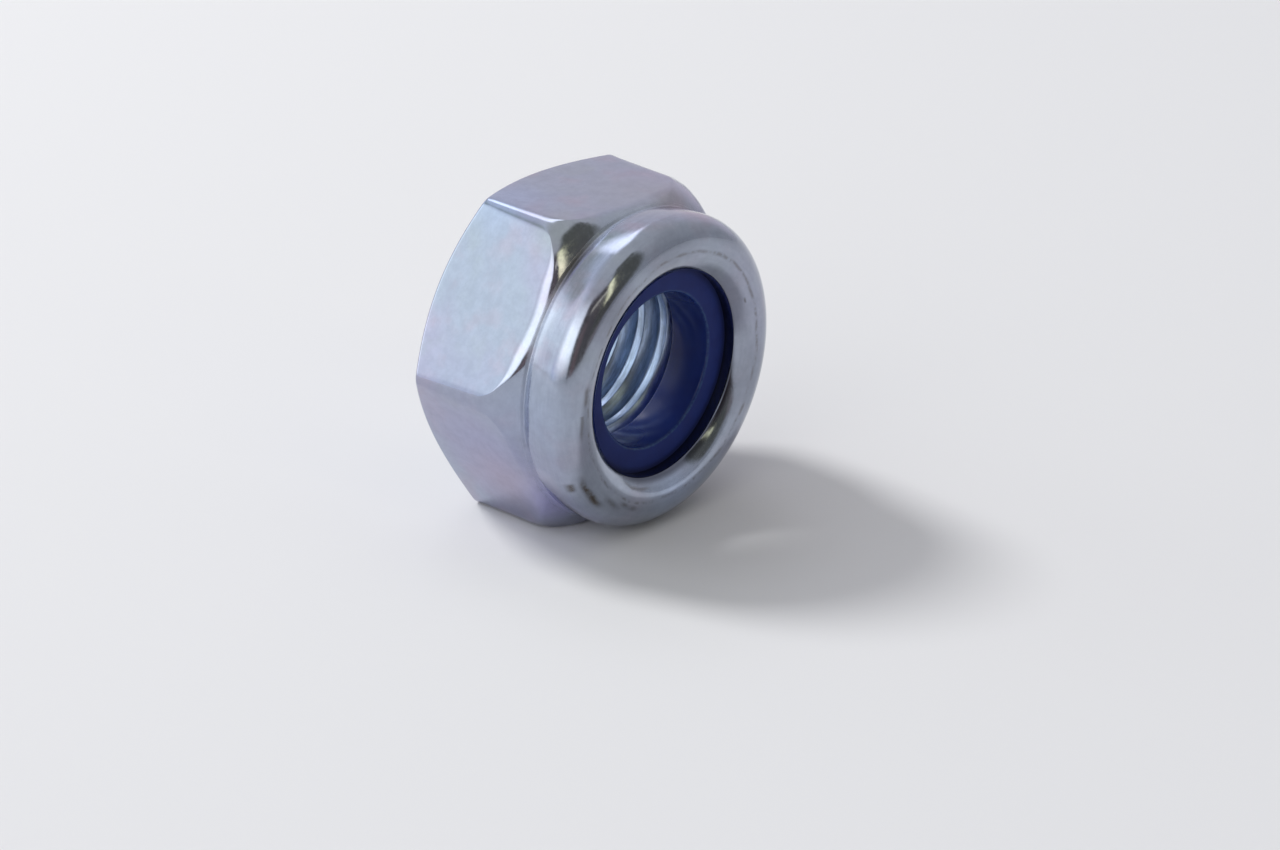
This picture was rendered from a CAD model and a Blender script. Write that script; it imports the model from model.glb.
from math import atan2, copysign, cos, hypot, pi, radians, sin, sqrt, tan

import bpy
from bpy.props import FloatProperty, FloatVectorProperty, PointerProperty
from mathutils import Matrix, Vector


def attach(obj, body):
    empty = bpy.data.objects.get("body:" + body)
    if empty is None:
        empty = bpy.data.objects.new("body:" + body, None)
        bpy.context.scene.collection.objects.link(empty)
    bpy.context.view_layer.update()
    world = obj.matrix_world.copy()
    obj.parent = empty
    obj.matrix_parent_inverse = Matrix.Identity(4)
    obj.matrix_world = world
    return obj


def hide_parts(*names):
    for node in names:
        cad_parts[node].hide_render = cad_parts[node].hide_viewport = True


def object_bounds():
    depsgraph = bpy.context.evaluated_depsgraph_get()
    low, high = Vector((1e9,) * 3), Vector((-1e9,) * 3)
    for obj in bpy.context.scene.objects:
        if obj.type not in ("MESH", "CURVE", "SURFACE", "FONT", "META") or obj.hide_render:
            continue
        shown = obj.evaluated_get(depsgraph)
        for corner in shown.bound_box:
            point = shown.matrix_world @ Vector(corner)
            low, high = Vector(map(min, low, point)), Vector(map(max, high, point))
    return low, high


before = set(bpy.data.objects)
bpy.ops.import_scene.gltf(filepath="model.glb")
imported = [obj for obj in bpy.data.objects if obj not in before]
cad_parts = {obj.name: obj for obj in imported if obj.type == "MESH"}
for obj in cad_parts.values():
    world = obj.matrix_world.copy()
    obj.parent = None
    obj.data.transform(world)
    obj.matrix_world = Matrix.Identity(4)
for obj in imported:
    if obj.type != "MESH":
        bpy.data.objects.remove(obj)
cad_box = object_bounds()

bl_info = {
    "name": "Insert lock nut",
    "version": (1, 0),
    "blender": (4, 5, 0),
    "location": "3D View > Sidebar > Lock nut",
    "description": "Models a hexagon lock nut with a rolled collar and a captive nylon ring",
    "category": "Add Mesh",
}

MILLIMETRE = 0.001
FLATS = 6
SECTOR = 2 * pi / FLATS

# Columns of faces round the axis
SIDE_COLUMNS = 30                        # across one flat
CORNER_COLUMNS = 20                      # round one corner, where the body turns fast
CORNER_WIDTH = radians(5)                # each way from the corner
COLUMNS = FLATS * (SIDE_COLUMNS + CORNER_COLUMNS)
RING_COLUMNS = 192
THREAD_COLUMNS = 96

# Steps along the parts of a section
MOUTH_STEPS = 3
EDGE_STEPS = 5
FLAT_STEPS = 10
SHOULDER_STEPS = 36
SIDE_STEPS = 8
ROLL_STEPS = 24
CROWN_STEPS = 14
LIP_STEPS = 8
CREST_STEPS = 4
BORE_EDGE_STEPS = 6

# Small roundings, and how close vertices are when they are welded into one
MOUTH_EDGE = 0.1 * MILLIMETRE
WASHER_EDGE = 0.25 * MILLIMETRE
NECK_EDGE_FADE = 1.0 * MILLIMETRE        # reach over which the neck's edge gives way
CREST_ROUNDING = 0.09 * MILLIMETRE
TAP_DRILL_ALLOWANCE = 0.2 * MILLIMETRE   # bore left for the tap, whose core shapes the crests
WELD = 0.001 * MILLIMETRE
TAP_WELD = 0.0005 * MILLIMETRE
TAP_TURNS = 6


def length(name, description, millimetres):
    """A length that a user may change, given in millimetres and kept in metres."""
    return FloatProperty(
        name=name,
        description=description,
        default=millimetres * MILLIMETRE,
        precision=5,
        unit="LENGTH",
    )


def angle(name, description, degrees):
    """An angle that a user may change, given in degrees and kept in radians."""
    return FloatProperty(
        name=name,
        description=description,
        default=radians(degrees),
        subtype="ANGLE",
    )


def colour(name, description, red, green, blue):
    """A colour that a user may change."""
    return FloatVectorProperty(
        name=name,
        description=description,
        default=(red, green, blue),
        subtype="COLOR",
        min=0,
        max=1,
    )


# ---------------------------------------------------------------- sizes and colours


class NutSizes(bpy.types.PropertyGroup):
    """Sizes of the steel body and of the nylon ring in it."""

    across_flats: FloatProperty(
        name="Across flats",
        description="Width of the hexagon, from the solid model",
        default=cad_box[1].z - cad_box[0].z,
        precision=5,
        unit="LENGTH",
    )
    height: FloatProperty(
        name="Height",
        description="Bearing face to the crown of the collar, from the solid model",
        default=cad_box[1].y - cad_box[0].y,
        precision=5,
        unit="LENGTH",
    )
    corner_radius: length("Corner radius", "Rounded edge between two flats", 0.65)
    worn_corner: length("Worn corner", "Rounder edge between two flats at the shoulder", 1.2)
    worn_shoulder: length("Worn shoulder", "Rounding where a worn corner meets the shoulder", 2.0)
    edge_radius: length("Edge radius", "Softened edge round each flat", 0.25)
    neck_edge: length("Neck edge", "Softened edge where the middle of a flat meets the neck", 1.2)
    washer_face: length("Washer face", "Flat ring inside the bearing chamfer", 16.2)
    chamfer_angle: angle("Chamfer angle", "Bearing chamfer, from the bearing face", 33)
    mouth: length("Mouth", "Countersink where the screw enters", 10.8)
    thread_diameter: length("Thread diameter", "Major diameter of the thread", 10)
    thread_pitch: length("Thread pitch", "Distance between two turns", 1.5)
    thread_start: length("Thread start", "Station of a crest above the +X corner", 5.638)
    shoulder_start: length("Shoulder start", "Station where the corners round over", 4.55)
    shoulder_radius: length("Shoulder radius", "Rounding between flats and collar", 2.95)
    turning_margin: length("Turning margin", "Blank outside the hexagon's corners", 0.05)
    neck: length("Neck", "Diameter where the collar leaves the hexagon", 16.5)
    neck_fillet: length("Neck fillet", "Hollow rounding in the neck", 0.1)
    collar: length("Collar", "Largest diameter of the collar", 16.73)
    roll_radius: length("Roll radius", "Outer radius of the rolled edge", 1.41)
    lip_opening: length("Lip opening", "Hole left by the lip", 11)
    lip_thickness: length("Lip thickness", "Wall of the lip at its edge", 0.64)
    lip_edge: length("Lip edge", "Rounding of the lip's edge", 0.28)
    crown_cover: length("Crown cover", "Crown above the front of the ring", 1.23)
    ring_diameter: length("Ring diameter", "Outside of the nylon ring", 14)
    ring_bore: length("Ring bore", "Hole of the nylon ring", 8.28)
    ring_thickness: length("Ring thickness", "Nylon ring along the axis", 2.48)
    ring_bevel: length("Ring bevel", "Ring's front edge, pressed back by the lip", 0.8)
    ring_edge: length("Ring edge", "Rounding of the ring's bore", 0.16)
    ring_clearance: length("Ring clearance", "Between the ring and its recess", 0.03)
    seat_chamfer: length("Seat chamfer", "Thread's lead-out under the ring", 0.35)


class NutFinish(bpy.types.PropertyGroup):
    """Colours of the plating and of the nylon."""

    zinc_blue: colour("Zinc, blue", "Cool tone of the plating", 0.385, 0.43, 0.52)
    zinc_lilac: colour("Zinc, lilac", "Violet tone of the plating", 0.405, 0.41, 0.525)
    zinc_green: colour("Zinc, green", "Olive tone of the plating", 0.38, 0.43, 0.46)
    zinc_pink: colour("Zinc, pink", "Pink tone of the plating", 0.49, 0.375, 0.44)
    zinc_violet: colour("Zinc, violet", "Deeper violet by the neck", 0.34, 0.352, 0.505)
    zinc_deep: colour("Zinc, deep", "Deep blue low in the neck", 0.50, 0.49, 0.76)
    zinc_sky: colour("Zinc, sky", "Palest blue of the plating", 0.40, 0.47, 0.62)
    zinc_stone: colour("Zinc, stone", "Warmer grey beside the neck", 0.385, 0.41, 0.455)
    zinc_slate: colour("Zinc, slate", "Darker grey on the crown", 0.25, 0.27, 0.325)
    zinc_grey: colour("Zinc, grey", "Duller tone of the crown", 0.313, 0.345, 0.412)
    zinc_dull: colour("Zinc, dull", "Dull patch at the foot of the collar", 0.13, 0.13, 0.14)
    zinc_hole: colour("Zinc, hole", "Colder tone in the threaded hole", 0.40, 0.51, 0.67)
    shade: colour("Shade", "Dirt in the corner under the lip", 0.12, 0.13, 0.17)
    shade_edge: colour("Shade, edge", "Dirt where the lip turns inward", 0.03, 0.032, 0.042)
    rub_mark: colour("Rub mark", "Brown of rubbed-through plating", 0.10, 0.085, 0.07)
    nylon: colour("Nylon", "Navy of the ring", 0.0105, 0.0165, 0.113)
    nylon_bright: colour("Nylon, bright", "Blue where the nylon is thin", 0.0135, 0.033, 0.19)
    nylon_shade: colour("Nylon, shade", "Darkest navy, by the lip", 0.004, 0.006, 0.03)
    nylon_bore: colour("Nylon, bore", "Darker navy in the bore", 0.006, 0.009, 0.045)
    nylon_edge: colour("Nylon, edge", "Pale line round the bore's front", 0.03, 0.075, 0.19)


class NutStudio(bpy.types.PropertyGroup):
    """Camera, room and lamp."""

    azimuth: angle("Azimuth", "Camera's side, 0 looks along +Y", -50.641)
    elevation: angle("Elevation", "Camera above the horizon", 24.089)
    roll: angle("Roll", "Camera's turn about its own axis", 2.877)
    distance: length("Distance", "Camera to the point it aims at", 204)
    aim: FloatVectorProperty(
        name="Aim",
        description="Point at the middle of the view",
        default=[v * MILLIMETRE for v in (2.261, -1.037, -4.652)],
        precision=5,
        subtype="TRANSLATION",
        unit="LENGTH",
    )
    lens: FloatProperty(
        name="Lens", description="Focal length in millimetres", default=109.47, min=1
    )
    floor_colour: colour("Floor", "Colour of the floor", 0.78, 0.78, 0.79)
    room_low: colour("Room, low", "Colour of the room at the horizon", 0.46, 0.47, 0.50)
    room_high: colour("Room, high", "Colour of the room above", 0.67, 0.67, 0.69)
    matt_light: FloatProperty(
        name="Matt light",
        description="Share of the room's light that matt surfaces get",
        default=0.68,
        min=0,
        max=1,
    )
    lamp_power: FloatProperty(
        name="Lamp power", description="Power of the lamp", default=2.2, min=0, unit="POWER"
    )
    lamp_size: length("Lamp size", "Width of the round lamp", 160)
    lamp_distance: length("Lamp distance", "Lamp to the nut", 600)
    lamp_azimuth: angle("Lamp azimuth", "Lamp's side, counted like the camera's", -163)
    lamp_elevation: angle("Lamp elevation", "Lamp above the horizon", 46)


# ---------------------------------------------------------------- shared modelling steps


def rounded(before, corner, after, radius, steps):
    """Points of an arc that rounds the corner between two straight stretches."""
    back = (Vector(before) - Vector(corner)).normalized()
    on = (Vector(after) - Vector(corner)).normalized()
    half = back.angle(on) / 2
    middle = Vector(corner) + (back + on).normalized() * (radius / sin(half))
    start = Vector(corner) + back * (radius / tan(half)) - middle
    end = Vector(corner) + on * (radius / tan(half)) - middle
    turn = start.angle_signed(end)
    points = []
    for step in range(steps + 1):
        spoke = start.copy()
        spoke.rotate(Matrix.Rotation(-turn * step / steps, 2))
        points.append(tuple(middle + spoke))
    return points


def arc(centre, radius, start, end, steps):
    """Points of an arc, angles measured from the radial direction towards the crown."""
    points = []
    for step in range(steps + 1):
        at = start + (end - start) * step / steps
        points.append((centre[0] + radius * cos(at), centre[1] + radius * sin(at)))
    return points


def tangent_arc_centre(touch, end):
    """Centre of the arc that touches the line radius = touch[0] and ends at a point."""
    across = touch[0] - end[0]
    along = touch[1] - end[1]
    radius = (across**2 + along**2) / (2 * across)
    return (touch[0] - radius, touch[1]), radius


def outer_crossing(first, first_radius, second, second_radius):
    """Where two circles cross, on the side away from the axis."""
    base = Vector(second) - Vector(first)
    apart = base.length
    along = (first_radius**2 - second_radius**2 + apart**2) / (2 * apart)
    across = sqrt(first_radius**2 - along**2)
    base.normalize()
    outward = Vector((base.y, -base.x)) * (1 if base.y > 0 else -1)
    return Vector(first) + base * along + outward * across


def direction(start, end):
    """Angle from one point to another, from the radial direction towards the crown."""
    return atan2(end[1] - start[1], end[0] - start[0])


def follow_arcs(arcs, steps):
    """Points at even turns along arcs that run on into each other.

    Each arc is (centre, radius, start, end); a hollow one has a negative radius.
    """
    whole = sum(abs(end - start) for _, _, start, end in arcs)
    points = []
    for step in range(steps + 1):
        ahead = whole * step / steps
        for arc_ahead in arcs:
            centre, radius, start, end = arc_ahead
            turn = abs(end - start)
            if ahead <= turn or arc_ahead is arcs[-1]:
                break
            ahead -= turn
        at = start + copysign(min(ahead, turn), end - start)
        points.append((centre[0] + radius * cos(at), centre[1] + radius * sin(at)))
    return points


def draw_section(name, points, closed):
    """Draws a turned section by extruding one vertex from point to point."""
    bpy.ops.object.select_all(action="DESELECT")
    bpy.ops.mesh.primitive_plane_add(size=MILLIMETRE)
    piece = bpy.context.object
    piece.name = name
    bpy.ops.object.mode_set(mode="EDIT")
    bpy.ops.mesh.merge(type="CENTER")
    bpy.ops.transform.translate(value=points[0])
    for here, there in zip(points, points[1:]):
        step = Vector(there) - Vector(here)
        bpy.ops.mesh.extrude_region_move(TRANSFORM_OT_translate={"value": step})
    if closed:
        bpy.ops.mesh.select_all(action="SELECT")
        bpy.ops.mesh.edge_face_add()
        bpy.ops.mesh.delete(type="ONLY_FACE")
    bpy.ops.object.mode_set(mode="OBJECT")
    return piece


def number_rows(piece):
    """Keeps each vertex's place in the section, so that it is known after the spin."""
    rows = piece.data.attributes.new("row", "INT", "POINT")
    rows.data.foreach_set("value", range(len(piece.data.vertices)))


def spin_section(columns):
    """Turns the section just drawn into a closed form round the thread axis."""
    bpy.ops.object.mode_set(mode="EDIT")
    bpy.ops.mesh.select_all(action="SELECT")
    bpy.ops.mesh.spin(steps=columns, angle=2 * pi, center=(0, 0, 0), axis=(0, 1, 0))
    bpy.ops.mesh.select_all(action="SELECT")
    bpy.ops.mesh.remove_doubles(threshold=WELD)
    bpy.ops.mesh.normals_make_consistent(inside=False)
    bpy.ops.object.mode_set(mode="OBJECT")


def finish_piece(piece, material, stands_for, smooth_angle):
    """Shades a finished mesh, gives it its material and puts it in the frame."""
    bpy.ops.object.select_all(action="DESELECT")
    piece.select_set(True)
    bpy.context.view_layer.objects.active = piece
    bpy.ops.object.shade_smooth_by_angle(angle=radians(smooth_angle))
    piece.data.materials.clear()
    piece.data.materials.append(material)
    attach(piece, "root")
    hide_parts(stands_for)


# ---------------------------------------------------------------- steel body


def hexagon_reach(sizes, about, corner_radius):
    """Distance from the axis to the hexagon, corners rounded, in a direction about it."""
    flat = sizes.across_flats / 2
    off_middle = (about % SECTOR) - SECTOR / 2
    off_corner = SECTOR / 2 - abs(off_middle)
    arc_centre = (flat - corner_radius) / cos(SECTOR / 2)
    if tan(abs(off_middle)) * flat < arc_centre * sin(SECTOR / 2):
        return flat / cos(off_middle)
    rounding = corner_radius**2 - (arc_centre * sin(off_corner)) ** 2
    return arc_centre * cos(off_corner) + sqrt(rounding)


def corner_share(sizes, reach):
    """0 where the worn corner's rounding begins, 1 at its furthest reach."""
    flat = sizes.across_flats / 2
    begins = hypot(flat, (flat - sizes.worn_corner) * tan(SECTOR / 2))
    ends = hexagon_reach(sizes, 0, sizes.worn_corner)
    return (reach - begins) / (ends - begins)


def column_angle(column):
    """Direction of a spun column, with the columns crowded together at the corners."""
    sector, place = divmod(column % COLUMNS, SIDE_COLUMNS + CORNER_COLUMNS)
    half = CORNER_COLUMNS / 2
    if place <= half:
        within = CORNER_WIDTH * place / half
    elif place >= half + SIDE_COLUMNS:
        within = SECTOR - CORNER_WIDTH * (SIDE_COLUMNS + CORNER_COLUMNS - place) / half
    else:
        across = (place - half) / SIDE_COLUMNS
        within = CORNER_WIDTH + (SECTOR - 2 * CORNER_WIDTH) * across
    return sector * 2 * pi / FLATS + within


def smooth_share(value):
    """Smooth change from 0 to 1."""
    value = min(max(value, 0), 1)
    return value * value * (3 - 2 * value)


def blank_reach(sizes):
    """Radius of the turned blank, a little outside the hexagon's rounded corners."""
    return hexagon_reach(sizes, 0, sizes.corner_radius) + sizes.turning_margin


def body_section(sizes, reach, top_reach):
    """Outline of the steel body at a place where its hexagon reaches this far out.

    The worn corners reach a little less far at the top of the flats. Points are (radius,
    station), from the screw's mouth round the outside to the thread.
    """
    washer = sizes.washer_face / 2
    bore = (sizes.thread_diameter - sizes.thread_pitch) / 2 - TAP_DRILL_ALLOWANCE
    mouth = sizes.mouth / 2

    # Bearing end: countersink, washer face, chamfer and the soft edge of the flat
    points = rounded((bore, mouth - bore), (mouth, 0), (washer, 0), MOUTH_EDGE, MOUTH_STEPS)
    chamfer_top = (reach, (reach - washer) * tan(sizes.chamfer_angle))
    points += rounded((mouth, 0), (washer, 0), chamfer_top, WASHER_EDGE, MOUTH_STEPS)
    above = (reach, sizes.height)
    bearing_edge = rounded((washer, 0), chamfer_top, above, sizes.edge_radius, EDGE_STEPS)
    points += bearing_edge

    # Neck: a hollow between the turned shoulder and the collar's side
    shoulder = (blank_reach(sizes) - sizes.shoulder_radius, sizes.shoulder_start)
    neck = sizes.neck / 2
    neck_rise = sqrt(sizes.shoulder_radius**2 - (neck - shoulder[0]) ** 2)
    bulge = (sizes.collar / 2, sizes.height - sizes.roll_radius)
    side, side_radius = tangent_arc_centre(bulge, (neck, shoulder[1] + neck_rise))
    hollow_radius = sizes.neck_fillet
    hollow = outer_crossing(
        shoulder, sizes.shoulder_radius + hollow_radius, side, side_radius + hollow_radius
    )
    shoulder_end = direction(shoulder, hollow)
    side_start = direction(side, hollow)

    # Soft edge of the flat, which the neck reaches at the middle of the flat
    flat = sizes.across_flats / 2
    off_middle = smooth_share((top_reach - flat) / NECK_EDGE_FADE)
    edge = sizes.neck_edge + (sizes.edge_radius - sizes.neck_edge) * off_middle
    edge += (sizes.worn_shoulder - edge) * smooth_share(corner_share(sizes, top_reach))
    edge_radius = top_reach - edge
    across = edge_radius - shoulder[0]
    rise = sqrt((sizes.shoulder_radius - edge) ** 2 - across**2)
    edge_centre = (edge_radius, shoulder[1] + rise)
    edge_end = direction(shoulder, edge_centre)
    if edge_end > shoulder_end:
        drop = sqrt((edge + hollow_radius) ** 2 - (hollow[0] - edge_radius) ** 2)
        edge_centre = (edge_radius, hollow[1] - drop)
        edge_end = shoulder_end = direction(edge_centre, hollow)

    low = bearing_edge[-1][1]
    high = edge_centre[1]
    for step in range(1, FLAT_STEPS):
        share = step / FLAT_STEPS
        points.append((reach + (top_reach - reach) * sqrt(share), low + (high - low) * share))
    points += follow_arcs(
        (
            (edge_centre, edge, 0, edge_end),
            (shoulder, sizes.shoulder_radius, edge_end, shoulder_end),
            (hollow, -hollow_radius, shoulder_end, side_start),
        ),
        SHOULDER_STEPS,
    )

    # Collar: side, rolled edge, crown and lip
    points += arc(side, side_radius, side_start, 0, SIDE_STEPS)[1:-1]
    roll_centre = (bulge[0] - sizes.roll_radius, bulge[1])
    points += arc(roll_centre, sizes.roll_radius, 0, pi / 2, ROLL_STEPS)
    lip = sizes.lip_opening / 2
    ring_front = sizes.height - sizes.crown_cover
    lip_top = (lip, ring_front + sizes.lip_thickness)
    fall = sizes.height - lip_top[1]
    run = roll_centre[0] - lip
    crown_radius = (run**2 + fall**2) / (2 * fall)
    crown_centre = (roll_centre[0], sizes.height - crown_radius)
    crown_end = pi / 2 + 2 * atan2(fall, run)
    crown = arc(crown_centre, crown_radius, pi / 2, crown_end, CROWN_STEPS)[1:-2]
    points += crown
    points += rounded(crown[-1], lip_top, (lip, ring_front), sizes.lip_edge, LIP_STEPS)

    # Inside: under the lip, the recess, and the hole that is tapped
    recess = sizes.ring_diameter / 2 + sizes.ring_clearance
    bevel = sizes.ring_bevel + sizes.ring_clearance
    ring_back = ring_front - sizes.ring_thickness
    lead_out = sizes.seat_chamfer + TAP_DRILL_ALLOWANCE
    points += [
        (lip, ring_front),
        (recess - bevel, ring_front),
        (recess, ring_front - bevel),
        (recess, ring_back),
        (bore + lead_out, ring_back),
        (bore, ring_back - lead_out),
        (bore, mouth - bore),
    ]
    return points


def in_row(sizes, point):
    """Place in the model of a section's point: radius along X, station along -Y."""
    return Vector((point[0], sizes.height / 2 - point[1], 0))


def open_to_hexagon(piece, sizes):
    """Moves the spun body's vertices from the round section out to the hexagon."""
    sections = []
    for column in range(COLUMNS):
        turn = column_angle(column)
        reach = hexagon_reach(sizes, turn, sizes.corner_radius)
        top_reach = hexagon_reach(sizes, turn, sizes.worn_corner)
        sections.append(body_section(sizes, reach, top_reach))
    row_of = piece.data.attributes["row"].data
    for vertex in piece.data.vertices:
        spun = atan2(vertex.co.z, vertex.co.x)
        column = round(spun / (2 * pi) * COLUMNS) % COLUMNS
        radius, station = sections[column][row_of[vertex.index].value]
        turn = column_angle(column)
        vertex.co = (radius * cos(turn), sizes.height / 2 - station, radius * sin(turn))
    piece.data.attributes.remove(piece.data.attributes["row"])
    piece.data.update()


def tap_profile(sizes):
    """One pitch of a 60 degree thread: half a crest, a groove and half a crest.

    Points are (radius, distance along the axis). The nut's crests and roots are rounded.
    """
    pitch = sizes.thread_pitch
    major = sizes.thread_diameter / 2
    minor = major - pitch / 2
    root = pitch / 16
    crest = pitch / 2 - root - (major - minor) * tan(radians(30))
    low = (minor, 0)
    corners = [
        (minor, crest),
        (major, pitch / 2 - root),
        (major, pitch / 2 + root),
        (minor, pitch - crest),
    ]
    high = (minor, pitch)
    route = [low, *corners, high]
    points = [low]
    for before, corner, after in zip(route, corners, route[2:]):
        points += rounded(before, corner, after, CREST_ROUNDING, CREST_STEPS)
    points.append(high)
    return points


def close_ridge(tap, start, sizes):
    """Closes the end of the tap's ridge, where the ridge begins or stops."""
    near = 0.01 * MILLIMETRE
    pitch = sizes.thread_pitch
    bpy.ops.object.mode_set(mode="EDIT")
    bpy.ops.mesh.select_mode(type="VERT")
    bpy.ops.mesh.select_all(action="DESELECT")
    bpy.ops.object.mode_set(mode="OBJECT")
    for vertex in tap.data.vertices:
        x, y, z = vertex.co
        at_end = x > 0 and abs(z) < near
        vertex.select = at_end and start + near < y < start + pitch - near
    bpy.ops.object.mode_set(mode="EDIT")
    bpy.ops.mesh.edge_face_add()
    bpy.ops.object.mode_set(mode="OBJECT")


def make_tap(sizes):
    """Screw-shaped cutter that runs past both ends of the thread."""
    pitch = sizes.thread_pitch
    first_crest = sizes.height / 2 - sizes.thread_start
    base = first_crest - 2 * pitch
    profile = [Vector((radius, base + along, 0)) for radius, along in tap_profile(sizes)]
    tap = draw_section("tap", profile, closed=False)
    screw = tap.modifiers.new("thread", "SCREW")
    screw.axis = "Y"
    screw.angle = 2 * pi
    screw.screw_offset = pitch
    screw.iterations = TAP_TURNS
    screw.steps = THREAD_COLUMNS
    screw.render_steps = THREAD_COLUMNS
    bpy.ops.object.modifier_apply(modifier=screw.name)
    bpy.ops.object.mode_set(mode="EDIT")
    bpy.ops.mesh.select_all(action="SELECT")
    bpy.ops.mesh.remove_doubles(threshold=TAP_WELD)
    bpy.ops.object.mode_set(mode="OBJECT")
    for start in (base, base + TAP_TURNS * pitch):
        close_ridge(tap, start, sizes)
    bpy.ops.object.mode_set(mode="EDIT")
    bpy.ops.mesh.select_all(action="DESELECT")
    bpy.ops.mesh.select_non_manifold()
    bpy.ops.mesh.extrude_region_move(TRANSFORM_OT_translate={"value": (0, 0, 0)})
    bpy.ops.mesh.merge(type="COLLAPSE")
    bpy.ops.mesh.select_all(action="SELECT")
    bpy.ops.mesh.normals_make_consistent(inside=False)
    bpy.ops.object.mode_set(mode="OBJECT")
    return tap


def tap_thread(piece, sizes):
    """Cuts the thread into the hole."""
    tap = make_tap(sizes)
    bpy.ops.object.select_all(action="DESELECT")
    piece.select_set(True)
    bpy.context.view_layer.objects.active = piece
    cut = piece.modifiers.new("tapping", "BOOLEAN")
    cut.operation = "DIFFERENCE"
    cut.solver = "EXACT"
    cut.object = tap
    bpy.ops.object.modifier_apply(modifier=cut.name)
    bpy.data.objects.remove(tap)


class LOCKNUT_OT_add_body(bpy.types.Operator):
    """Models the steel body: spun section, six flats, rolled collar and tapped thread"""

    bl_idname = "lock_nut.add_body"
    bl_label = "Add steel body"
    bl_options = {"REGISTER", "UNDO"}

    def execute(self, context):
        sizes = context.scene.nut_sizes
        outline = body_section(sizes, sizes.across_flats / 2, sizes.across_flats / 2)
        places = [in_row(sizes, point) for point in outline]
        piece = draw_section("steel_body", places, closed=True)
        number_rows(piece)
        spin_section(COLUMNS)
        open_to_hexagon(piece, sizes)
        tap_thread(piece, sizes)
        finish_piece(piece, zinc_plating(context.scene), "nut_body", 35)
        return {"FINISHED"}


# ---------------------------------------------------------------- nylon ring


def ring_section(sizes):
    """Outline of the nylon ring, from its bore's back edge round the outside."""
    bore = sizes.ring_bore / 2
    outside = sizes.ring_diameter / 2
    front = sizes.height - sizes.crown_cover
    back = front - sizes.ring_thickness
    edge = sizes.ring_edge
    middle = (bore, (front + back) / 2)
    points = rounded(middle, (bore, back), (outside, back), edge, EDGE_STEPS)
    points += [(outside, back), (outside, front - sizes.ring_bevel)]
    points += [(outside - sizes.ring_bevel, front)]
    points += rounded((outside, front), (bore, front), middle, edge, BORE_EDGE_STEPS)
    return points


class LOCKNUT_OT_add_ring(bpy.types.Operator):
    """Models the nylon ring that the collar holds"""

    bl_idname = "lock_nut.add_ring"
    bl_label = "Add nylon ring"
    bl_options = {"REGISTER", "UNDO"}

    def execute(self, context):
        sizes = context.scene.nut_sizes
        places = [in_row(sizes, point) for point in ring_section(sizes)]
        piece = draw_section("nylon_insert", places, closed=True)
        spin_section(RING_COLUMNS)
        finish_piece(piece, blue_nylon(context.scene), "nylon_ring", 40)
        return {"FINISHED"}


# ---------------------------------------------------------------- materials
# Places on the nut are given in millimetres: a radius from the axis, and a station from the
# bearing face towards the crown. Turns are in degrees.

MIDDLE_STATION = 5.0


def new_material(name):
    """An empty node material, its shader and its coordinates in millimetres."""
    material = bpy.data.materials.new(name)
    material.use_nodes = True
    nodes = material.node_tree.nodes
    shader = nodes["Principled BSDF"]
    coordinates = nodes.new("ShaderNodeTexCoord")
    mapping = nodes.new("ShaderNodeMapping")
    mapping.inputs["Scale"].default_value = [1 / MILLIMETRE] * 3
    material.node_tree.links.new(coordinates.outputs["Object"], mapping.inputs["Vector"])
    return material, shader, mapping.outputs["Vector"]


def fit(tree, node, name, value):
    """Sets an input, or joins it if the value is a socket."""
    if isinstance(value, bpy.types.NodeSocket):
        tree.links.new(value, node.inputs[name])
    else:
        node.inputs[name].default_value = value


def calculate(tree, operation, *values):
    """A math node on numbers or sockets."""
    node = tree.nodes.new("ShaderNodeMath")
    node.operation = operation
    for place, value in enumerate(values):
        fit(tree, node, place, value)
    return node.outputs[0]


def noise(tree, place, scale, detail, roughness=0.5):
    """Height of a noise, about 0 to 1, scale in waves per millimetre."""
    node = tree.nodes.new("ShaderNodeTexNoise")
    fit(tree, node, "Vector", place)
    fit(tree, node, "Scale", scale)
    fit(tree, node, "Detail", detail)
    fit(tree, node, "Roughness", roughness)
    return node.outputs["Fac"]


def ramp(tree, value, low, high, start=0.0, end=1.0):
    """Smooth change from start to end while the value goes from low to high."""
    node = tree.nodes.new("ShaderNodeMapRange")
    node.interpolation_type = "SMOOTHSTEP"
    fit(tree, node, "Value", value)
    fit(tree, node, "From Min", low)
    fit(tree, node, "From Max", high)
    fit(tree, node, "To Min", start)
    fit(tree, node, "To Max", end)
    return node.outputs["Result"]


def blend(tree, share, first, second):
    """Mix of two colours."""
    node = tree.nodes.new("ShaderNodeMix")
    node.data_type = "RGBA"
    fit(tree, node, 0, share)
    for place, value in ((6, first), (7, second)):
        if isinstance(value, bpy.types.NodeSocket):
            tree.links.new(value, node.inputs[place])
        else:
            node.inputs[place].default_value = (*value[:3], 1)
    return node.outputs[2]


def blend_value(tree, share, first, second):
    """Mix of two values."""
    node = tree.nodes.new("ShaderNodeMix")
    fit(tree, node, 0, share)
    fit(tree, node, 2, first)
    fit(tree, node, 3, second)
    return node.outputs[0]


def parts_of(tree, vector):
    """The x, y and z of a vector."""
    node = tree.nodes.new("ShaderNodeSeparateXYZ")
    fit(tree, node, 0, vector)
    return node.outputs


def turned_place(tree, place):
    """Radius, turn about the thread axis, station, and height above the axis of a place."""
    x, y, z = parts_of(tree, place)
    across = calculate(tree, "MULTIPLY", x, x)
    radius = calculate(tree, "SQRT", calculate(tree, "MULTIPLY_ADD", z, z, across))
    turn = calculate(tree, "DEGREES", calculate(tree, "ARCTAN2", z, x))
    return radius, turn, calculate(tree, "SUBTRACT", MIDDLE_STATION, y), z


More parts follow.
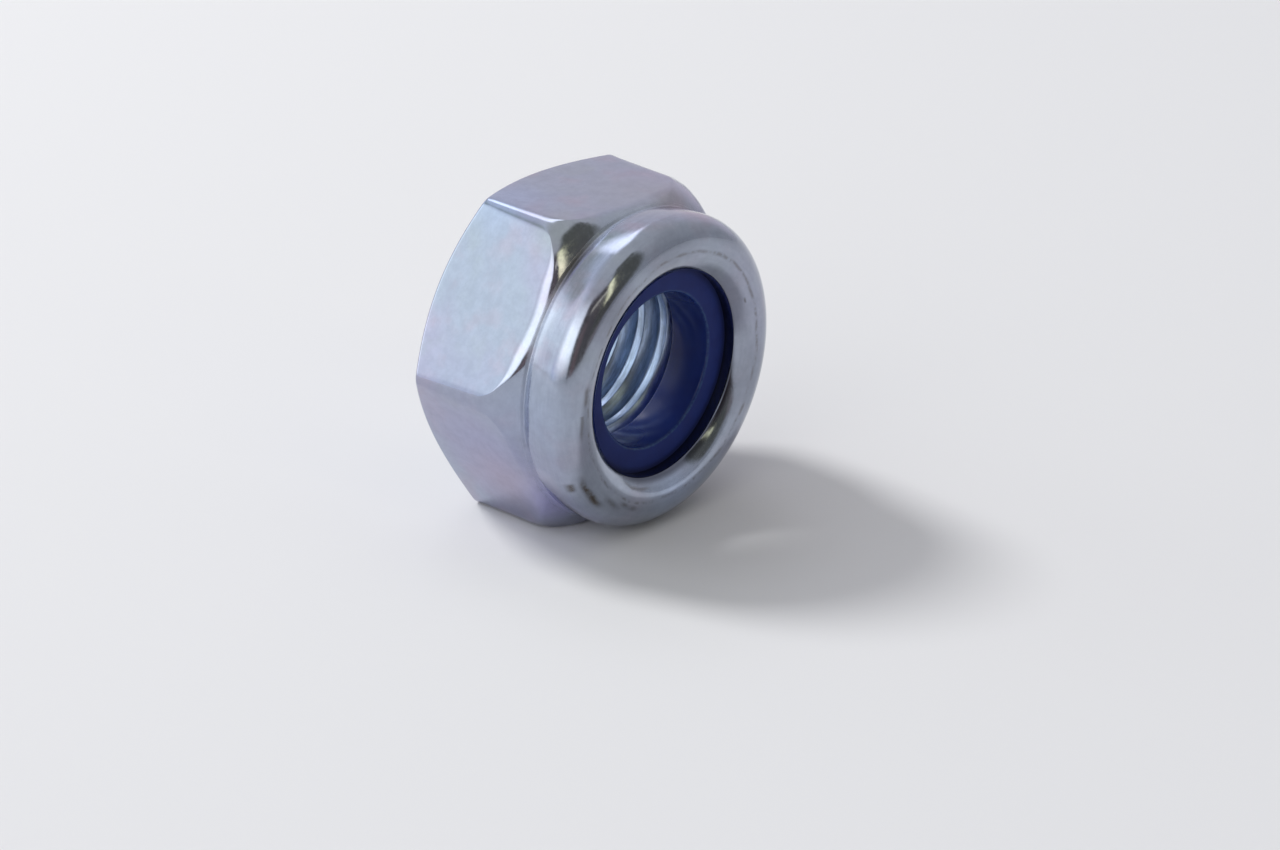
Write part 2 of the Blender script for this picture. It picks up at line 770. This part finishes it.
def band(tree, value, middle, width, soft):
    """1 while the value is within half the width of the middle, soft at both ends."""
    off = calculate(tree, "ABSOLUTE", calculate(tree, "SUBTRACT", value, middle))
    return ramp(tree, off, width / 2 - soft, width / 2 + soft, 1, 0)


def all_of(tree, *shares):
    """Product of shares."""
    product = shares[0]
    for share in shares[1:]:
        product = calculate(tree, "MULTIPLY", product, share)
    return product


def spot(tree, place, centre, reach, strength):
    """Share of a soft round patch about a point."""
    node = tree.nodes.new("ShaderNodeVectorMath")
    node.operation = "DISTANCE"
    fit(tree, node, 0, place)
    fit(tree, node, 1, centre)
    return ramp(tree, node.outputs["Value"], reach, 0, 0, strength)


def turned_lines(tree, radius, turn, station):
    """Noise drawn out round the axis, like the fine lines that turning leaves."""
    join = tree.nodes.new("ShaderNodeCombineXYZ")
    fit(tree, join, 0, calculate(tree, "MULTIPLY", radius, 5.0))
    fit(tree, join, 1, calculate(tree, "MULTIPLY", turn, 0.06))
    fit(tree, join, 2, calculate(tree, "MULTIPLY", station, 5.0))
    return noise(tree, join.outputs[0], 1, 3, 0.6)


def plating_tones(tree, finish, place, station, patches):
    """Drifts of blue and lilac, with green, pink and other tints in soft round patches."""
    broad = noise(tree, place, 0.16, 2)
    base = blend(tree, ramp(tree, broad, 0.4, 0.62), finish.zinc_blue, finish.zinc_lilac)
    base = blend(tree, ramp(tree, patches, 0.5, 0.75, 0, 0.5), base, finish.zinc_green)
    base = blend(tree, ramp(tree, patches, 0.5, 0.3, 0, 0.3), base, finish.zinc_pink)
    base = blend(tree, ramp(tree, station, 8.6, 9.8, 0, 0.6), base, finish.zinc_grey)
    for centre, reach, strength, tint in (
        ((-7.4, 0.5, -3.4), 7.0, 1.0, finish.zinc_violet),
        ((-6.4, 0.2, -5.2), 3.6, 0.4, finish.zinc_pink),
        ((-5.6, -2.6, -6.2), 3.0, 1.0, finish.zinc_deep),
        ((2.8, -2.7, 7.9), 2.3, 0.9, finish.zinc_pink),
        ((-4.8, -1.0, 8.0), 2.2, 0.9, finish.zinc_green),
        ((-6.5, 1.0, 4.5), 4.5, 0.4, finish.zinc_blue),
        ((-3.8, 3.2, 8.5), 3.4, 1.0, finish.zinc_sky),
        ((2.0, -1.0, 8.5), 4.5, 0.6, finish.zinc_stone),
        ((-5.2, -4.9, -5.0), 4.0, 0.9, finish.zinc_blue),
        ((6.6, -5.0, -2.0), 3.6, 0.65, finish.zinc_slate),
        ((-0.8, -5.4, 6.8), 3.0, 0.7, finish.zinc_slate),
        ((-4.8, -5.2, 4.6), 2.5, 1.0, finish.zinc_slate),
        ((-8.3, -3.0, 0.2), 3.4, 0.5, finish.zinc_sky),
        ((0.5, -5.0, -6.2), 3.0, 0.7, finish.zinc_sky),
    ):
        base = blend(tree, spot(tree, place, centre, reach, strength), base, tint)
    return base


def rubbed_through(tree, radius, turn, station, patches, specks):
    """Share of a ring scored on the crown, and of short marks rubbed beside it."""
    waver = calculate(tree, "MULTIPLY_ADD", calculate(tree, "SUBTRACT", patches, 0.5), 0.5, radius)
    worn = all_of(tree, band(tree, waver, 6.68, 0.16, 0.08), ramp(tree, specks, 0.4, 0.6), 0.5)
    # turn, radius, sweep, width and strength of each mark
    for middle, ring, sweep, width, strength in (
        (-142, 7.68, 17, 0.26, 1.0),
        (-149, 8.15, 4, 0.22, 0.8),
        (172, 6.9, 8, 0.3, 0.6),
        (-176, 7.15, 12, 0.22, 0.5),
        (-113, 5.98, 18, 0.14, 0.5),
        (-117, 6.98, 11, 0.26, 0.6),
        (-128, 7.3, 11, 0.26, 0.5),
        (25, 6.2, 3, 0.1, 0.7),
    ):
        mark = all_of(
            tree,
            band(tree, turn, middle, sweep, sweep / 4),
            band(tree, waver, ring, width, width / 2),
            ramp(tree, specks, 0.3, 0.55, 0.3, 1),
            strength,
        )
        worn = calculate(tree, "MAXIMUM", worn, mark)
    on_crown = all_of(tree, ramp(tree, station, 8.9, 9.1), ramp(tree, radius, 5.6, 5.8))
    return calculate(tree, "MULTIPLY", worn, on_crown)


def add_lip_dirt(tree, finish, base, radius, station, up):
    """Shadow and dirt in the corner under the lip, which reach furthest out low down."""
    shade_end = calculate(tree, "MULTIPLY_ADD", up, 0.06, station)
    under_lip = all_of(
        tree,
        ramp(tree, radius, 5.95, 5.6),
        ramp(tree, shade_end, 9.52, 9.28),
        ramp(tree, station, 6.6, 6.7),
        0.97,
    )
    low_edge = all_of(tree, ramp(tree, station, 9.27, 9.35), band(tree, up, -2.2, 2.0, 0.8))
    dirt = blend(tree, low_edge, finish.shade, finish.shade_edge)
    return blend(tree, under_lip, base, dirt)


def add_grain(tree, shader, place, grain):
    """Fine grain over the slow waves left by the forming."""
    bump = tree.nodes.new("ShaderNodeBump")
    bump.inputs["Strength"].default_value = 0.06
    bump.inputs["Distance"].default_value = 0.02 * MILLIMETRE
    waves = noise(tree, place, 1.1, 1)
    fit(tree, bump, "Height", calculate(tree, "MULTIPLY_ADD", waves, 4.0, grain))
    fit(tree, shader, "Normal", bump.outputs["Normal"])


def zinc_plating(scene):
    """Blue zinc plating with faint lilac, green and pink tints and a few rub marks."""
    finish = scene.nut_finish
    material, shader, place = new_material("zinc plating")
    tree = material.node_tree
    radius, turn, station, up = turned_place(tree, place)
    patches = noise(tree, place, 0.45, 4)
    specks = noise(tree, place, 1.7, 6, 0.7)
    grain = noise(tree, place, 5, 4, 0.6)
    lines = turned_lines(tree, radius, turn, station)
    in_hole = all_of(tree, ramp(tree, radius, 5.2, 5.0), ramp(tree, station, 6.6, 6.5))
    crease = all_of(tree, band(tree, station, 7.17, 0.34, 0.08), ramp(tree, radius, 8.48, 8.4))

    # Tones, a dull patch in the neck's crease, marks, dirt, and colder metal in the hole
    base = plating_tones(tree, finish, place, station, patches)
    dull = all_of(tree, crease, spot(tree, place, (-5.0, -2.2, 6.7), 2.4, 1.0))
    base = blend(tree, dull, base, finish.zinc_dull)
    worn = rubbed_through(tree, radius, turn, station, patches, specks)
    base = blend(tree, worn, base, finish.rub_mark)
    base = add_lip_dirt(tree, finish, base, radius, station, up)
    base = blend(tree, all_of(tree, in_hole, 0.8), base, finish.zinc_hole)

    # Speckle all over, streaks on the turned faces, and stronger streaks in the hole
    off_flats = ramp(tree, radius, 8.6, 8.38)
    streaks = ramp(tree, lines, 0.35, 0.65, 0.97, 1.03)
    hole_streaks = ramp(tree, lines, 0.3, 0.7, 0.75, 1.25)
    mottle = all_of(
        tree,
        ramp(tree, specks, 0.3, 0.7, 0.94, 1.05),
        blend_value(tree, off_flats, 1.0, streaks),
        blend_value(tree, in_hole, 1.0, hole_streaks),
    )
    tone = tree.nodes.new("ShaderNodeVectorMath")
    tone.operation = "SCALE"
    fit(tree, tone, 0, base)
    fit(tree, tone, "Scale", mottle)
    fit(tree, shader, "Base Color", tone.outputs[0])
    fit(tree, shader, "Metallic", 1.0)

    # Less gloss along the turned lines, in the hole, in the crease and where it is rubbed
    gloss = ramp(tree, grain, 0.3, 0.7, 0.08, 0.15)
    for share, rougher in (
        (ramp(tree, lines, 0.4, 0.7), 0.04),
        (in_hole, 0.2),
        (crease, 0.35),
        (worn, 0.2),
    ):
        gloss = calculate(tree, "MULTIPLY_ADD", share, rougher, gloss)
    fit(tree, shader, "Roughness", gloss)
    add_grain(tree, shader, place, grain)
    return material


def blue_nylon(scene):
    """Dark blue nylon, slightly waxy."""
    finish = scene.nut_finish
    material, shader, place = new_material("blue nylon")
    tree = material.node_tree
    radius, _, station, up = turned_place(tree, place)
    cloud = noise(tree, place, 0.8, 3)
    fine = noise(tree, place, 5, 3)
    in_bore = ramp(tree, radius, 4.3, 4.16)

    # Darker by the lip and in the bore, with a pale line round the bore's front
    base = blend(tree, cloud, finish.nylon, finish.nylon_bright)
    base = blend(tree, ramp(tree, radius, 5.1, 5.5, 0, 0.6), base, finish.nylon_shade)
    base = blend(tree, all_of(tree, in_bore, 0.3), base, finish.nylon_bore)
    thin_edge = all_of(
        tree,
        band(tree, radius, 4.23, 0.12, 0.05),
        ramp(tree, station, 8.5, 8.6),
        ramp(tree, fine, 0.35, 0.65, 0.2, 0.8),
    )
    base = blend(tree, thin_edge, base, finish.nylon_edge)
    fit(tree, shader, "Base Color", base)
    fit(tree, shader, "Specular IOR Level", 0.22)
    matt = ramp(tree, in_bore, 0, 1, 0.6, 0.15)
    fit(tree, shader, "Roughness", calculate(tree, "MULTIPLY_ADD", fine, 0.05, matt))

    # The lower side of the bore is the glossiest
    low = ramp(tree, up, -2.6, -3.7)
    polished = all_of(tree, in_bore, low, ramp(tree, station, 8.2, 7.7))
    fit(tree, shader, "Coat Weight", polished)
    fit(tree, shader, "Coat Roughness", 0.16)
    return material


# ---------------------------------------------------------------- studio


def world_direction(tree):
    """Azimuth, 0 towards -Y and 90 degrees towards +X, and elevation of a direction."""
    coordinates = tree.nodes.new("ShaderNodeTexCoord")
    x, y, z = parts_of(tree, coordinates.outputs["Generated"])
    azimuth = calculate(tree, "ARCTAN2", x, calculate(tree, "MULTIPLY", y, -1.0))
    return azimuth, calculate(tree, "ARCSINE", z)


def panel(tree, seen, azimuth, elevation, width, height, soft, tilt):
    """Share of a soft-edged panel hung round the studio, all in degrees."""
    off = calculate(tree, "SUBTRACT", seen[0], radians(azimuth))
    off = calculate(tree, "WRAP", off, pi, -pi)
    rise = calculate(tree, "SUBTRACT", seen[1], radians(elevation))
    if tilt:
        lean = calculate(tree, "MULTIPLY", rise, tan(radians(tilt)))
        off = calculate(tree, "ADD", off, lean)
    off = calculate(tree, "ABSOLUTE", off)
    rise = calculate(tree, "ABSOLUTE", rise)
    across = ramp(tree, off, radians(width / 2 - soft), radians(width / 2 + soft), 1, 0)
    along = ramp(tree, rise, radians(height / 2 - soft), radians(height / 2 + soft), 1, 0)
    return calculate(tree, "MULTIPLY", across, along)


# Panels hung round the room, the later ones over the earlier ones: azimuth, elevation, width,
# height, softness and tilt in degrees, and colour
ROOM_PANELS = (
    (-150, 0, 110, 120, 22, 0, (0.90, 0.96, 1.12)),      # left wall
    (130, 10, 80, 64, 14, 0, (0.73, 0.695, 0.775)),      # wall behind on the right
    (-178, 42, 70, 14, 5, 0, (0.50, 0.55, 0.54)),        # dim strip over the back wall
    (-100, 32, 80, 40, 10, 0, (1.15, 1.20, 1.25)),       # window, dull part
    (-144, 15, 36, 40, 6, 0, (1.25, 1.33, 1.38)),        # window, pale blue part
    (-131, 7, 16, 14, 5, 0, (1.02, 1.08, 1.16)),         # window, low part
    (-153, 14, 20, 28, 5, 0, (1.90, 2.00, 2.00)),        # window, left edge
    (-80, 26, 50, 34, 14, 0, (2.25, 2.27, 2.25)),        # window, bright part
    (-8, 5, 30, 14, 5, 0, (0.34, 0.30, 0.30)),           # foot of the curtain
    (-32, 25, 46, 52, 4, 0, (0.15, 0.135, 0.135)),       # brown curtain
    (-40, 14, 14, 30, 5, 0, (0.25, 0.18, 0.18)),         # and its redder fold
    (8, 36, 38, 60, 3, 0, (0.15, 0.15, 0.135)),          # dark doorway
    (-20, 39, 34, 4, 2, 0, (0.9, 0.85, 0.7)),            # bar of light beside the lamp
    (-4.5, 36, 7, 28, 2, 22, (2.2, 2.1, 1.3)),           # narrow warm lamp in the doorway
    (150, 57, 36, 26, 6, 0, (2.15, 2.15, 2.4)),          # lamp above, behind
)


def make_surroundings(scene):
    """A room of soft panels: windows on the left, a lamp above, a dark doorway in front."""
    studio = scene.nut_studio
    world = bpy.data.worlds.new("studio")
    scene.world = world
    world.use_nodes = True
    tree = world.node_tree
    tree.nodes.clear()
    seen = world_direction(tree)
    room = blend(tree, ramp(tree, seen[1], 0, radians(60)), studio.room_low, studio.room_high)
    for *place, shade in ROOM_PANELS:
        room = blend(tree, panel(tree, seen, *place), room, shade)
    # What lights matt surfaces is weaker than what the metal mirrors, so shadows stay clear
    path = tree.nodes.new("ShaderNodeLightPath")
    strength = ramp(tree, path.outputs["Is Diffuse Ray"], 0, 1, 1, studio.matt_light)
    light = tree.nodes.new("ShaderNodeBackground")
    fit(tree, light, "Color", room)
    fit(tree, light, "Strength", strength)
    output = tree.nodes.new("ShaderNodeOutputWorld")
    tree.links.new(light.outputs[0], output.inputs["Surface"])


def make_floor(scene):
    """Plain pale floor, 4 m wide, on which the nut stands on one flat."""
    bpy.ops.object.select_all(action="DESELECT")
    level = -scene.nut_sizes.across_flats / 2
    bpy.ops.mesh.primitive_plane_add(size=4, location=(0, 0, level))
    floor = bpy.context.object
    floor.name = "floor"
    material = bpy.data.materials.new("floor")
    material.use_nodes = True
    shader = material.node_tree.nodes["Principled BSDF"]
    shader.inputs["Base Color"].default_value = (*scene.nut_studio.floor_colour, 1)
    shader.inputs["Roughness"].default_value = 0.9
    shader.inputs["Specular IOR Level"].default_value = 0.1
    floor.data.materials.append(material)


def studio_turn(side, rise, roll):
    """Turn of a camera or lamp that looks at the origin from an azimuth and elevation."""
    back = Vector((sin(side) * cos(rise), -cos(side) * cos(rise), sin(rise)))
    level = Vector((cos(side), sin(side), 0))
    right = level * cos(roll) + back.cross(level) * sin(roll)
    return Matrix((right, back.cross(right), back)).transposed().to_4x4()


def make_key_lamp(scene):
    """Soft lamp behind on the left, which throws the nut's shadow on the floor.

    The metal shows the room's panels instead, so the lamp isn't mirrored.
    """
    studio = scene.nut_studio
    data = bpy.data.lights.new("key", "AREA")
    data.shape = "DISK"
    data.size = studio.lamp_size
    data.energy = studio.lamp_power
    lamp = bpy.data.objects.new("key", data)
    turn = studio_turn(studio.lamp_azimuth, studio.lamp_elevation, 0)
    lamp.matrix_world = turn @ Matrix.Translation((0, 0, studio.lamp_distance))
    lamp.visible_glossy = False
    scene.collection.objects.link(lamp)


def make_camera(scene):
    """Camera that aims at the nut from the front left, above."""
    studio = scene.nut_studio
    data = bpy.data.cameras.new("camera")
    data.sensor_width = 36
    data.lens = studio.lens
    data.clip_start = 0.01
    camera = bpy.data.objects.new("camera", data)
    turn = studio_turn(studio.azimuth, studio.elevation, studio.roll)
    away = Matrix.Translation((0, 0, studio.distance))
    camera.matrix_world = Matrix.Translation(studio.aim) @ turn @ away
    scene.collection.objects.link(camera)
    scene.camera = camera


class LOCKNUT_OT_add_studio(bpy.types.Operator):
    """Makes the floor, the light and the camera"""

    bl_idname = "lock_nut.add_studio"
    bl_label = "Add studio"
    bl_options = {"REGISTER", "UNDO"}

    def execute(self, context):
        scene = context.scene
        scene.view_settings.view_transform = "Standard"
        make_surroundings(scene)
        make_floor(scene)
        make_key_lamp(scene)
        make_camera(scene)
        return {"FINISHED"}


class LOCKNUT_PT_tools(bpy.types.Panel):
    """Lists the nut's sizes, its finish and what can be added"""

    bl_idname = "LOCKNUT_PT_tools"
    bl_label = "Insert lock nut"
    bl_space_type = "VIEW_3D"
    bl_region_type = "UI"
    bl_category = "Lock nut"

    def draw(self, context):
        for group in (context.scene.nut_sizes, context.scene.nut_finish, context.scene.nut_studio):
            box = self.layout.box()
            for name in group.bl_rna.properties.keys():
                if name not in ("rna_type", "name"):
                    box.prop(group, name)
        for operator in OPERATORS:
            self.layout.operator(operator.bl_idname)


GROUPS = (NutSizes, NutFinish, NutStudio)
OPERATORS = (LOCKNUT_OT_add_body, LOCKNUT_OT_add_ring, LOCKNUT_OT_add_studio)
CLASSES = (*GROUPS, *OPERATORS, LOCKNUT_PT_tools)


def register():
    for cls in CLASSES:
        bpy.utils.register_class(cls)
    bpy.types.Scene.nut_sizes = PointerProperty(type=NutSizes)
    bpy.types.Scene.nut_finish = PointerProperty(type=NutFinish)
    bpy.types.Scene.nut_studio = PointerProperty(type=NutStudio)


def unregister():
    del bpy.types.Scene.nut_studio
    del bpy.types.Scene.nut_finish
    del bpy.types.Scene.nut_sizes
    for cls in reversed(CLASSES):
        bpy.utils.unregister_class(cls)


def main():
    register()
    bpy.ops.lock_nut.add_body()
    bpy.ops.lock_nut.add_ring()
    bpy.ops.lock_nut.add_studio()


if __name__ == "__main__":
    main()
